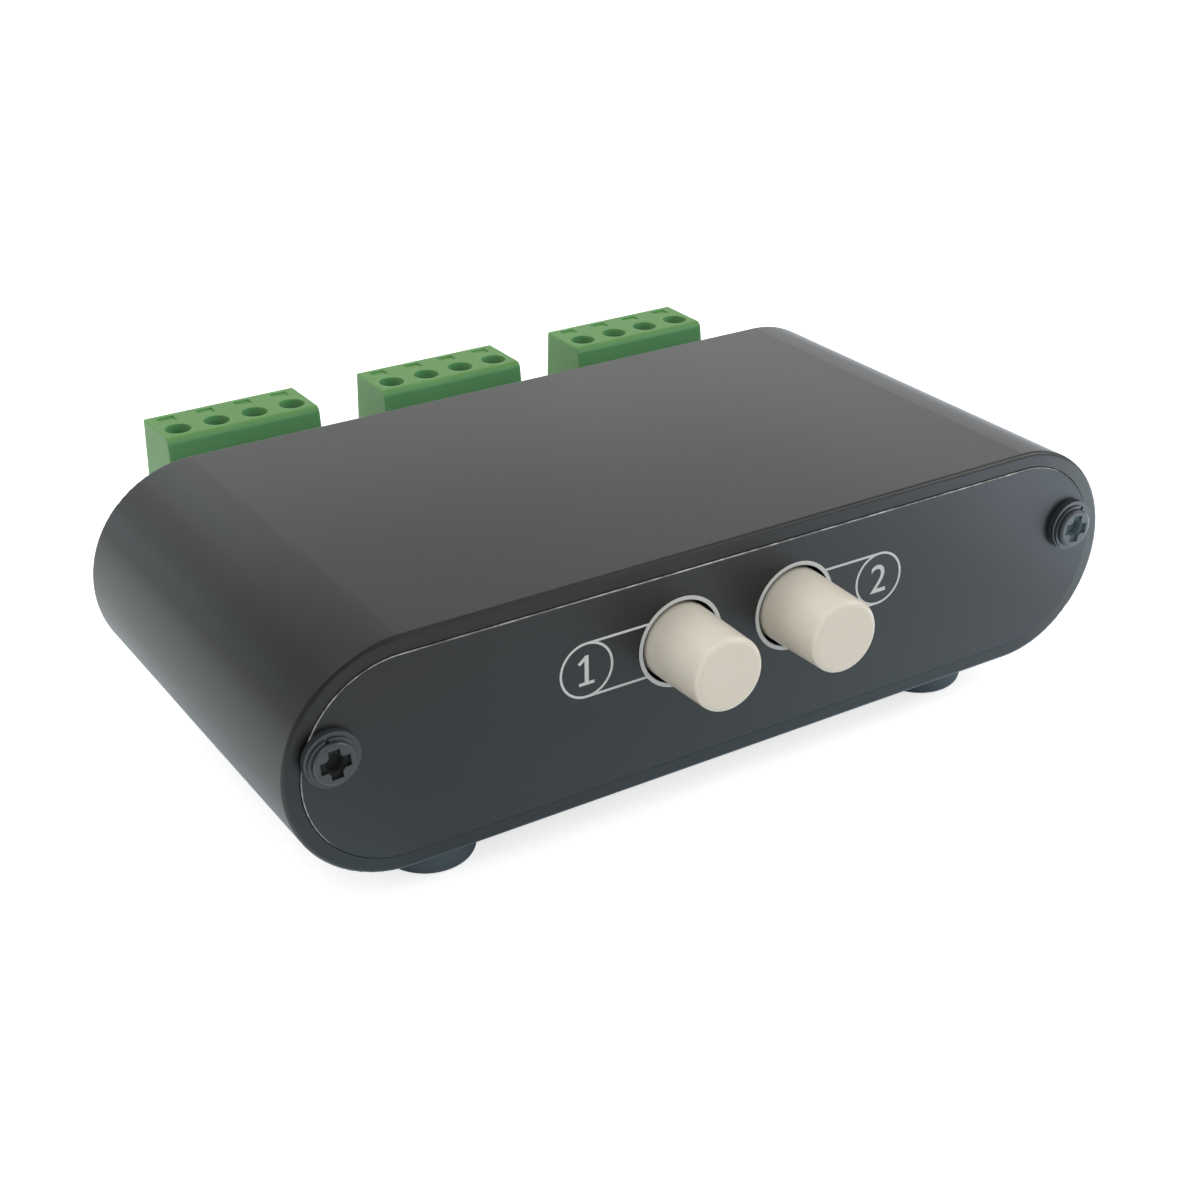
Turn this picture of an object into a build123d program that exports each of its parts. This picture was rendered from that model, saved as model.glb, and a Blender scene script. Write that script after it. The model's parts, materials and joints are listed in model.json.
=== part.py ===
from build123d import *
import os
from math import atan2, degrees, hypot

os.makedirs("parts", exist_ok=True)

# A two-button speaker selector: an extruded obround case with two end panels, two latching
# push switches on a circuit board, and three pluggable four-pole screw terminals at the back.
# Millimetres. +X to the right, +Y to the back, +Z up. The origin is under the middle of the
# whole part, on the surface that its feet stand on.
# Depths are measured back from the case's front end, and heights from the case's middle line.
# The screws, buttons and feet stand a little left of the case's middle, by fittings_aside, and the
# left feet stand nearer the front than the right ones, by twice feet_skew.

# ---- Driving dimensions: case ----
case_width = 109.0
case_height = 27.0
case_depth = 53.7
case_wall = 1.8
case_edge_radius = 0.5
fittings_aside = 0.28
boss_radius = 3.9
board_rib_thickness = 1.0
board_rib_reach = 3.4

# ---- Driving dimensions: panels and their screws ----
panel_thickness = 2.0
panel_proud = 0.25
panel_gap = 0.1
panel_edge_break = 0.15
screw_from_side = 5.35
screw_height = 2.6
screw_radius = 1.45
screw_hole_clearance = 0.25
screw_length = 9.0
screw_head_radius = 2.35
screw_head_height = 0.5
screw_head_crown = 0.3
cross_length = 3.3
cross_width = 1.3
cross_depth = 0.38
cross_flare = 6.0
cross_hub_radius = 1.15
cross_hub_depth = 1.1
cross_hub_flare = 18.0
cross_turns = (4.0, -9.0, 22.0, -31.0)
flat_washer_radius = 3.1
flat_washer_thickness = 0.8
flat_washer_rise = 0.2
spring_washer_radius = 2.75
spring_washer_thickness = 0.22
spring_washer_split = 0.4
spring_washer_turns = (12.0, -27.0, 66.0, -93.0)
thread_clearance = 0.06

# ---- Driving dimensions: feet ----
foot_radius = 5.35
foot_height = 4.85
foot_edge_radius = 1.35
foot_from_side = 19.6
foot_from_end = 8.55
feet_skew = 0.35

# ---- Driving dimensions: circuit board ----
board_thickness = 1.6
board_top_height = -3.5
board_side_gap = 1.6
board_front_gap = 2.25
board_back_gap = 0.55
board_rib_clearance = 0.1
solder_length = 1.5

# ---- Driving dimensions: buttons ----
button_from_middle = 7.65
button_height = 3.25
button_travel = 3.5
cap_reach = 9.4
cap_front_radius = 4.25
cap_back_radius = 4.55
cap_tail = 1.65
cap_edge_radius = 0.7
cap_socket_depth = 7.6
cap_clearance = 0.3
cap_switch_gap = 1.6

# ---- Driving dimensions: push switches ----
switch_length = 24.0
switch_width = 10.4
switch_rise = 6.15
switch_side_wall = 1.0
switch_end_wall = 1.2
switch_top_wall = 1.0
switch_base_thickness = 1.4
switch_corner_radius = 0.4
rod_width = 3.3
rod_clearance = 0.1
cap_grip_clearance = 0.02
slider_side_clearance = 0.2
slider_end_clearance = 0.2
slider_stop_gap = 0.6
slider_headroom = 1.2
spring_bore_radius = 2.4
spring_bore_depth = 10.0
spring_wire_radius = 0.25
spring_side_clearance = 0.25
spring_pitch = 1.5
spring_end_clearance = 0.05
terminal_rows = 2
poles_per_row = 2
terminals_per_pole = 3
terminal_pitch = 3.6
terminal_row_spacing = 4.4
terminal_first = 3.0
terminal_width = 0.9
terminal_thickness = 0.5
terminal_stub = 0.8
terminal_clearance = 0.05
terminal_hole_clearance = 0.085
clip_length = 5.2
clip_width = 1.6
clip_thickness = 0.35
clip_contact_gap = 0.05
latch_wire_radius = 0.3
latch_offset = -1.0
latch_tip_setback = 5.1
latch_pivot_setback = 3.8
latch_wire_lift = 0.6
latch_tip_drop = 1.4
latch_pivot_rise = 1.3
latch_bend_radius = 0.5
latch_pivot_clearance = 0.06
groove_width = 3.4
groove_depth = 1.2
groove_margin = 0.6
cam_width = 0.9
cam_length = 2.4

# ---- Driving dimensions: terminal plugs and board headers ----
connector_spacing = 29.4
connector_shift = -0.9
connector_count = 3
pole_count = 4
pole_pitch = 5.08
plug_front_wall = 0.7
plug_back_wall = 3.5
plug_floor = 1.2
plug_top_edge_radius = 0.9
plug_corner_radius = 0.2
plug_ledge_reach = 0.8
plug_ledge_gap = 0.25
plug_front_lean = 0.9
plug_back_lean = 0.5
plug_back_lean_rise = 1.2
nose_tip_chamfer = 0.4
nose_clearance = 0.15
nose_side_clearance = 0.3
nose_tip_gap = 0.5
shoulder_thickness = 1.5
pole_wall = 0.88
test_slot_width = 2.2
test_slot_length = 1.6
test_slot_depth = 0.2
test_slot_from_back = 0.65
wire_entry_radius = 1.6
wire_funnel_width = 4.0
wire_funnel_height = 4.2
wire_funnel_depth = 0.7
wire_space = 2.8
cage_depth = 4.2
cage_side_wall = 0.5
cage_floor = 0.8
cage_top = 1.7
cage_travel = 2.5
cage_clearance = 0.1
clamp_side_clearance = 0.3
clamp_thread_clearance = 0.05
clamp_neck_clearance = 0.08
clamp_head_radius = 1.55
clamp_head_height = 1.9
clamp_head_chamfer = 0.2
clamp_head_lift = 0.05
clamp_head_clearance = 0.1
clamp_head_recess = 1.85
clamp_slot_width = 0.6
clamp_slot_depth = 0.9
clamp_slot_turn = 37.0
tongue_thickness = 0.8
tongue_side_clearance = 0.5
tongue_lift = 0.37
socket_side_wall = 0.62
socket_floor = 0.6
socket_clearance = 0.03
socket_tip_setback = 0.4
pin_width = 1.0
pin_reach = 9.0
pin_tip_chamfer = 0.25
pin_leg_setback = 1.5
pin_clearance = 0.03
pin_hole_clearance = 0.07
header_side_reach = 1.04
header_length = 12.7
header_height = 8.6
header_wall = 1.0
header_back_wall = 1.6
header_board_hold = 1.9
header_front_gap = 0.3
header_edge_radius = 0.3
key_notch_width = 1.4
key_notch_length = 4.0
window_clearance = 0.2

# ---- Worked out from the driving dimensions: case, panels and board ----
case_middle_height = foot_height + case_height / 2
inner_width = case_width - 2 * case_wall
inner_height = case_height - 2 * case_wall
panel_width = inner_width - 2 * panel_gap
panel_height = inner_height - 2 * panel_gap
panel_seat = panel_thickness - panel_proud
screw_from_middle = case_width / 2 - screw_from_side
screw_hole_radius = screw_radius + screw_hole_clearance
foot_from_middle = case_width / 2 - foot_from_side
board_width = inner_width - 2 * board_side_gap
board_front = panel_seat + board_front_gap
board_back = case_depth - panel_seat - board_back_gap
board_bottom_height = board_top_height - board_thickness
solder_end_height = board_bottom_height - solder_length

# ---- Worked out: buttons and switches ----
cap_back = panel_seat + cap_tail
button_hole_radius = cap_back_radius + cap_clearance
switch_front = cap_back + button_travel + cap_switch_gap
switch_back = switch_front + switch_length
switch_inner_front = switch_front + switch_end_wall
switch_inner_back = switch_back - switch_end_wall
switch_inner_width = switch_width - 2 * switch_side_wall
switch_top_height = button_height + switch_rise
switch_inner_top = switch_top_height - switch_top_wall
base_top_height = board_top_height + switch_base_thickness
terminal_top_height = base_top_height + terminal_stub
terminal_hole_radius = hypot(terminal_width, terminal_thickness) / 2 + terminal_hole_clearance
clip_bottom_height = terminal_top_height + clip_contact_gap
slider_bottom_height = clip_bottom_height + clip_thickness
slider_top_height = switch_inner_top - slider_headroom
slider_front = switch_inner_front + slider_end_clearance
slider_back = switch_inner_back - button_travel - slider_stop_gap
slider_length = slider_back - slider_front
slider_width = switch_inner_width - 2 * slider_side_clearance
spring_front = slider_back - spring_bore_depth
spring_coil_radius = spring_bore_radius - spring_side_clearance - spring_wire_radius
latch_tip = slider_front + latch_tip_setback
latch_pivot = switch_inner_back - latch_pivot_setback

# ---- Worked out: board headers ----
plug_width = pole_count * pole_pitch
header_width = plug_width + 2 * header_side_reach
header_top_height = board_top_height + header_height
header_middle_height = board_top_height + header_height / 2
header_start = board_back - header_board_hold
header_front = header_start + header_length
header_inner_back = header_start + header_back_wall
pin_leg = header_start - pin_leg_setback
pin_tip = header_start + pin_reach
pin_hole_radius = hypot(pin_width, pin_width) / 2 + pin_hole_clearance

# ---- Worked out: plugs, from the header's pins outwards ----
nose_width = header_width - 2 * header_wall - 2 * nose_side_clearance
nose_height = header_height - 2 * header_wall - 2 * nose_clearance
nose_front = header_inner_back + nose_tip_gap
cage_space_width = pole_pitch - pole_wall
cage_space_depth = cage_depth + 2 * cage_clearance
cage_width = cage_space_width - 2 * cage_clearance
cage_opening_width = cage_width - 2 * cage_side_wall
clamp_screw_radius = cage_opening_width / 2 - clamp_side_clearance
tongue_width = cage_opening_width - 2 * tongue_side_clearance
tongue_bottom_height = header_middle_height + pin_width / 2 + socket_clearance + tongue_lift
tongue_top_height = tongue_bottom_height + tongue_thickness
wire_entry_height = tongue_bottom_height - wire_space / 2
cage_bottom_height = tongue_bottom_height - wire_space - cage_floor
cage_opening_top = tongue_top_height + cage_clearance
cage_top_height = cage_opening_top + cage_top
cage_height = cage_top_height - cage_bottom_height
cage_space_floor = cage_bottom_height - cage_clearance
cage_space_top = cage_top_height + cage_travel + cage_clearance
shoulder_top_height = cage_space_top + shoulder_thickness
clamp_tip_height = tongue_top_height + cage_clearance
clamp_head_base = shoulder_top_height + clamp_head_lift
clamp_head_top = clamp_head_base + clamp_head_height
access_hole_radius = clamp_head_radius + clamp_head_clearance
plug_bottom_height = cage_space_floor - plug_floor
plug_top_height = clamp_head_top + clamp_head_recess
plug_front = header_front + header_front_gap
plug_depth = plug_front_wall + cage_space_depth + plug_back_wall
plug_back = plug_front + plug_depth
ledge_front = plug_front - plug_ledge_reach
ledge_height = header_top_height + plug_ledge_gap
back_lean_height = wire_entry_height + wire_funnel_height / 2 + plug_back_lean_rise
clamp_row = plug_front + plug_front_wall + cage_space_depth / 2
socket_width = pin_width + 2 * socket_clearance + 2 * socket_side_wall
socket_front = nose_front + socket_tip_setback
socket_back = plug_front + plug_front_wall - cage_clearance
socket_bottom_height = header_middle_height - pin_width / 2 - socket_clearance - socket_floor

# ---- Worked out: the whole part, and the places of what repeats ----
overall_middle = (plug_back - cap_reach) / 2
button_places = [-fittings_aside + side * button_from_middle for side in (-1, 1)]
screw_places = [(-fittings_aside + side * screw_from_middle, screw_height) for side in (-1, 1)]
foot_places = [
    (-fittings_aside + side * foot_from_middle, depth + side * feet_skew)
    for side in (-1, 1)
    for depth in (foot_from_end, case_depth - foot_from_end)
]
middle_connector = (connector_count - 1) / 2
connector_places = [
    connector_shift + (i - middle_connector) * connector_spacing for i in range(connector_count)
]
pole_offsets = [(i - (pole_count - 1) / 2) * pole_pitch for i in range(pole_count)]
terminals_per_row = poles_per_row * terminals_per_pole
terminal_depths = [
    switch_front + terminal_first + i * terminal_pitch for i in range(terminals_per_row)
]
row_offsets = [(i - (terminal_rows - 1) / 2) * terminal_row_spacing for i in range(terminal_rows)]
terminal_places = [
    (x + row, depth) for x in button_places for row in row_offsets for depth in terminal_depths
]


def facing_front(depth, x=0.0, height=0.0):
    """A plane across the case, seen from the front: its local y points up, its normal forwards."""
    place = (x, depth - overall_middle, case_middle_height + height)
    return Plane(origin=place, x_dir=(1, 0, 0), z_dir=(0, -1, 0))


def facing_back(depth, x=0.0, height=0.0):
    """A plane across the case, seen from behind: its local y points up, its normal backwards."""
    place = (x, depth - overall_middle, case_middle_height + height)
    return Plane(origin=place, x_dir=(-1, 0, 0), z_dir=(0, 1, 0))


def facing_up(height, x=0.0, depth=0.0):
    """A level plane: its local x is to the right, its local y to the back, its normal up."""
    return Plane(origin=(x, depth - overall_middle, case_middle_height + height))


def facing_right(x):
    """An upright plane along the case: its local x is depth, its local y height."""
    place = (x, -overall_middle, case_middle_height)
    return Plane(origin=place, x_dir=(0, 1, 0), z_dir=(1, 0, 0))


def save(builder, name):
    builder.part.label = name
    export_step(builder.part, f"parts/{name}.step")


# ---- Case tube: one extrusion with screw bosses and ribs that hold the board ----
upper_rib_height = board_top_height + board_rib_clearance + board_rib_thickness / 2
lower_rib_height = board_bottom_height - board_rib_clearance - board_rib_thickness / 2
rib_width = case_width / 2 - board_width / 2 + board_rib_reach
rib_from_middle = (case_width - rib_width) / 2
with BuildPart() as case_tube:
    with BuildSketch(facing_front(0)):
        SlotOverall(case_width, case_height)
        SlotOverall(inner_width, inner_height, mode=Mode.SUBTRACT)
        with Locations(*screw_places):
            Circle(boss_radius)
        for rib_side in (-1, 1):
            for rib_height in (upper_rib_height, lower_rib_height):
                with Locations((rib_side * rib_from_middle, rib_height)):
                    Rectangle(rib_width, board_rib_thickness)
        SlotOverall(case_width, case_height, mode=Mode.INTERSECT)
        with Locations(*screw_places):
            Circle(screw_radius + thread_clearance, mode=Mode.SUBTRACT)
    extrude(amount=-case_depth)
    fillet(case_tube.faces().sort_by(Axis.Y)[0].outer_wire().edges(), case_edge_radius)
    fillet(case_tube.faces().sort_by(Axis.Y)[-1].outer_wire().edges(), case_edge_radius)
    with BuildSketch(facing_front(0)):
        SlotOverall(inner_width, inner_height)
    extrude(amount=-panel_seat, mode=Mode.SUBTRACT)
    with BuildSketch(facing_back(case_depth)):
        SlotOverall(inner_width, inner_height)
    extrude(amount=-panel_seat, mode=Mode.SUBTRACT)
save(case_tube, "case_tube")

# ---- Front panel ----
with BuildPart() as front_panel:
    with BuildSketch(facing_front(-panel_proud)):
        SlotOverall(panel_width, panel_height)
    extrude(amount=-panel_thickness)
    chamfer(front_panel.faces().sort_by(Axis.Y)[0].edges(), panel_edge_break)
    with BuildSketch(facing_front(-panel_proud)):
        with Locations(*screw_places):
            Circle(screw_hole_radius)
        with Locations(*[(x, button_height) for x in button_places]):
            Circle(button_hole_radius)
    extrude(amount=-panel_thickness, mode=Mode.SUBTRACT)
save(front_panel, "front_panel")

# ---- Rear panel, with a window for each connector ----
with BuildPart() as rear_panel:
    with BuildSketch(facing_front(case_depth + panel_proud)):
        SlotOverall(panel_width, panel_height)
    extrude(amount=panel_thickness)
    chamfer(rear_panel.faces().sort_by(Axis.Y)[-1].edges(), panel_edge_break)
    with BuildSketch(facing_front(case_depth + panel_proud)):
        with Locations(*screw_places):
            Circle(screw_hole_radius)
        with Locations(*[(x, header_middle_height) for x in connector_places]):
            Rectangle(header_width + 2 * window_clearance, header_height + 2 * window_clearance)
    extrude(amount=panel_thickness, mode=Mode.SUBTRACT)
save(rear_panel, "rear_panel")

# ---- Panel screws and their washers, two at each end ----
panel_faces = [facing_front(-panel_proud, x, height) for x, height in screw_places]
panel_faces += [facing_back(case_depth + panel_proud, x, height) for x, height in screw_places]

with BuildPart() as panel_flat_washers:
    for face in panel_faces:
        with BuildSketch(face):
            with Locations((0, flat_washer_rise)):
                Circle(flat_washer_radius)
                Circle(screw_hole_radius, mode=Mode.SUBTRACT)
        extrude(amount=flat_washer_thickness)
save(panel_flat_washers, "panel_flat_washers")

with BuildPart() as panel_spring_washers:
    for face, turn in zip(panel_faces, spring_washer_turns):
        with BuildSketch(face.offset(flat_washer_thickness)):
            Circle(spring_washer_radius)
            Circle(screw_hole_radius, mode=Mode.SUBTRACT)
            with Locations(Rotation(0, 0, turn)):
                with Locations((0, spring_washer_radius)):
                    Rectangle(spring_washer_split, 2 * spring_washer_radius, mode=Mode.SUBTRACT)
        extrude(amount=spring_washer_thickness)
save(panel_spring_washers, "panel_spring_washers")

screw_head_lift = flat_washer_thickness + spring_washer_thickness
with BuildPart() as panel_screws:
    for face, turn in zip(panel_faces, cross_turns):
        with BuildSketch(face.offset(screw_head_lift)):
            Circle(screw_head_radius)
        extrude(amount=screw_head_height)
        outwards = Axis(face.origin, face.z_dir)
        fillet(panel_screws.faces(Select.LAST).sort_by(outwards)[-1].edges(), screw_head_crown)
        with BuildSketch(face.offset(screw_head_lift)):
            Circle(screw_radius)
        extrude(amount=-screw_length)
        with BuildSketch(face.offset(screw_head_lift + screw_head_height)):
            Rectangle(cross_length, cross_width, rotation=turn)
            Rectangle(cross_width, cross_length, rotation=turn)
        extrude(amount=-cross_depth, taper=cross_flare, mode=Mode.SUBTRACT)
        with BuildSketch(face.offset(screw_head_lift + screw_head_height)):
            Circle(cross_hub_radius)
        extrude(amount=-cross_hub_depth, taper=cross_hub_flare, mode=Mode.SUBTRACT)
save(panel_screws, "panel_screws")

# ---- Feet: four round rubber feet, well rounded underneath ----
with BuildPart() as rubber_feet:
    for foot_x, foot_depth in foot_places:
        with BuildSketch(facing_up(-case_middle_height, foot_x, foot_depth)):
            Circle(foot_radius)
        extrude(amount=foot_height)
    fillet(rubber_feet.edges().group_by(Axis.Z)[0], foot_edge_radius)
save(rubber_feet, "rubber_feet")

# ---- Circuit board, with holes for the switch terminals and the header pins ----
with BuildPart() as circuit_board:
    board_middle = (board_front + board_back) / 2
    with BuildSketch(facing_up(board_bottom_height, 0, board_middle)):
        Rectangle(board_width, board_back - board_front)
    extrude(amount=board_thickness)
    with BuildSketch(facing_up(board_bottom_height)):
        with Locations(*terminal_places):
            Circle(terminal_hole_radius)
        with Locations(*[(x + pole, pin_leg) for x in connector_places for pole in pole_offsets]):
            Circle(pin_hole_radius)
    extrude(amount=board_thickness, mode=Mode.SUBTRACT)
save(circuit_board, "circuit_board")

# ---- Push switches, one behind each button ----
for number, x in enumerate(button_places, 1):
    with BuildPart() as housing:
        with BuildSketch(facing_up(base_top_height, x, (switch_front + switch_back) / 2)):
            RectangleRounded(switch_width, switch_length, switch_corner_radius)
        extrude(amount=switch_top_height - base_top_height)
        with BuildSketch(facing_up(base_top_height, x, (switch_front + switch_back) / 2)):
            Rectangle(switch_inner_width, switch_length - 2 * switch_end_wall)
        extrude(amount=switch_inner_top - base_top_height, mode=Mode.SUBTRACT)
        with BuildSketch(facing_front(switch_front, x, button_height)):
            Rectangle(rod_width + 2 * rod_clearance, rod_width + 2 * rod_clearance)
        extrude(amount=-switch_end_wall, mode=Mode.SUBTRACT)
        with BuildSketch(facing_up(switch_top_height, x + latch_offset, latch_pivot)):
            Circle(latch_wire_radius + latch_pivot_clearance)
        extrude(amount=-switch_top_wall, mode=Mode.SUBTRACT)
    save(housing, f"switch_{number}_housing")

    with BuildPart() as base:
        with BuildSketch(facing_up(board_top_height, x, (switch_front + switch_back) / 2)):
            RectangleRounded(switch_width, switch_length, switch_corner_radius)
        extrude(amount=switch_base_thickness)
        with BuildSketch(facing_up(board_top_height, x)):
            with Locations(*[(row, d) for row in row_offsets for d in terminal_depths]):
                Rectangle(
                    terminal_width + 2 * terminal_clearance,
                    terminal_thickness + 2 * terminal_clearance,
                )
        extrude(amount=switch_base_thickness, mode=Mode.SUBTRACT)
    save(base, f"switch_{number}_base")

    with BuildPart() as slider:
        slider_middle = (slider_front + slider_back) / 2
        with BuildSketch(facing_up(slider_bottom_height, x, slider_middle)):
            Rectangle(slider_width, slider_length)
        extrude(amount=slider_top_height - slider_bottom_height)
        with BuildSketch(facing_front(slider_front, x, button_height)):
            Rectangle(rod_width, rod_width)
        extrude(amount=slider_front - cap_back + cap_socket_depth)
        with BuildSketch(facing_back(slider_back, x, button_height)):
            Circle(spring_bore_radius)
        extrude(amount=-spring_bore_depth, mode=Mode.SUBTRACT)
        groove_start = latch_tip - button_travel - groove_margin
        groove_end = latch_tip + groove_margin
        with BuildSketch(facing_up(slider_top_height, x, (groove_start + groove_end) / 2)):
            Rectangle(groove_width, groove_end - groove_start)
            Ellipse(cam_width / 2, cam_length / 2, mode=Mode.SUBTRACT)
        extrude(amount=-groove_depth, mode=Mode.SUBTRACT)
    save(slider, f"switch_{number}_slider")

    with BuildPart() as spring:
        spring_end_margin = spring_wire_radius + spring_end_clearance
        spring_length = switch_inner_back - spring_front - 2 * spring_end_margin
        spring_start = facing_back(spring_front + spring_end_margin, x, button_height)
        with BuildLine():
            coil = Helix(
                spring_pitch,
                spring_length,
                spring_coil_radius,
                center=spring_start.origin,
                direction=spring_start.z_dir,
            )
        with BuildSketch(Plane(origin=coil @ 0, z_dir=coil % 0)):
            Circle(spring_wire_radius)
        sweep(path=coil, is_frenet=True)
    save(spring, f"switch_{number}_return_spring")

    with BuildPart() as clips:
        pole_starts = terminal_depths[::terminals_per_pole]
        clip_depths = [first + terminal_pitch / 2 for first in pole_starts]
        with BuildSketch(facing_up(clip_bottom_height, x)):
            with Locations(*[(row, d) for row in row_offsets for d in clip_depths]):
                RectangleRounded(clip_width, clip_length, clip_thickness)
        extrude(amount=clip_thickness)
    save(clips, f"switch_{number}_sliding_contacts")

    with BuildPart() as latch_wire:
        wire_height = slider_top_height + latch_wire_lift
        with BuildLine(facing_right(x + latch_offset)):
            wire_path = FilletPolyline(
                (latch_tip, wire_height - latch_tip_drop),
                (latch_tip, wire_height),
                (latch_pivot, wire_height),
                (latch_pivot, wire_height + latch_pivot_rise),
                radius=latch_bend_radius,
            )
        with BuildSketch(Plane(origin=wire_path @ 0, z_dir=wire_path % 0)):
            Circle(latch_wire_radius)
        sweep(path=wire_path)
    save(latch_wire, f"switch_{number}_latch_wire")

    with BuildPart() as cap:
        cap_length = cap_reach + cap_back
        cap_taper = degrees(atan2(cap_back_radius - cap_front_radius, cap_length))
        with BuildSketch(facing_front(cap_back, x, button_height)):
            Circle(cap_back_radius)
        extrude(amount=cap_length, taper=cap_taper)
        fillet(cap.faces().sort_by(Axis.Y)[0].edges(), cap_edge_radius)
        with BuildSketch(facing_front(cap_back, x, button_height)):
            Rectangle(rod_width + 2 * cap_grip_clearance, rod_width + 2 * cap_grip_clearance)
        extrude(amount=cap_socket_depth, mode=Mode.SUBTRACT)
    save(cap, f"button_{number}_cap")

with BuildPart() as switch_terminals:
    with BuildSketch(facing_up(solder_end_height)):
        with Locations(*terminal_places):
            Rectangle(terminal_width, terminal_thickness)
    extrude(amount=terminal_top_height - solder_end_height)
save(switch_terminals, "switch_terminals")

# ---- Board headers ----
with BuildPart() as header_pins:
    for connector_x in connector_places:
        for pole in pole_offsets:
            pin_top = header_middle_height + pin_width / 2
            pin_bottom = header_middle_height - pin_width / 2
            leg_front = pin_leg - pin_width / 2
            leg_back = pin_leg + pin_width / 2
            with BuildSketch(facing_right(connector_x + pole)):
                with BuildLine():
                    Polyline(
                        (leg_front, solder_end_height),
                        (leg_back, solder_end_height),
                        (leg_back, pin_bottom),
                        (pin_tip, pin_bottom),
                        (pin_tip, pin_top),
                        (leg_front, pin_top),
                        close=True,
                    )
                make_face()
            extrude(amount=pin_width / 2, both=True)
    pin_ends = header_pins.faces().filter_by(Axis.Y).group_by(Axis.Y)[-1]
    chamfer(pin_ends.edges(), pin_tip_chamfer)
save(header_pins, "header_pins")

for number, x in enumerate(connector_places, 1):
    with BuildPart() as header:
        with BuildSketch(facing_back(header_start, x, header_middle_height)):
            Rectangle(header_width, header_height)
        extrude(amount=header_front - header_start)
        fillet(header.edges().filter_by(Axis.Y), header_edge_radius)
        with BuildSketch(facing_back(header_inner_back, x, header_middle_height)):
            Rectangle(header_width - 2 * header_wall, header_height - 2 * header_wall)
        extrude(amount=header_front - header_inner_back, mode=Mode.SUBTRACT)
        with BuildSketch(facing_back(header_start, x, header_middle_height)):
            with Locations(*[(pole, 0) for pole in pole_offsets]):
                Rectangle(pin_width + 2 * pin_clearance, pin_width + 2 * pin_clearance)
        extrude(amount=header_back_wall, mode=Mode.SUBTRACT)
        notch_middle = header_front - key_notch_length / 2
        with BuildSketch(facing_up(header_top_height, x, notch_middle)):
            with Locations(*[(pole, 0) for pole in pole_offsets]):
                Rectangle(key_notch_width, key_notch_length)
        extrude(amount=-header_wall, mode=Mode.SUBTRACT)
    save(header, f"header_{number}_housing")

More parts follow.
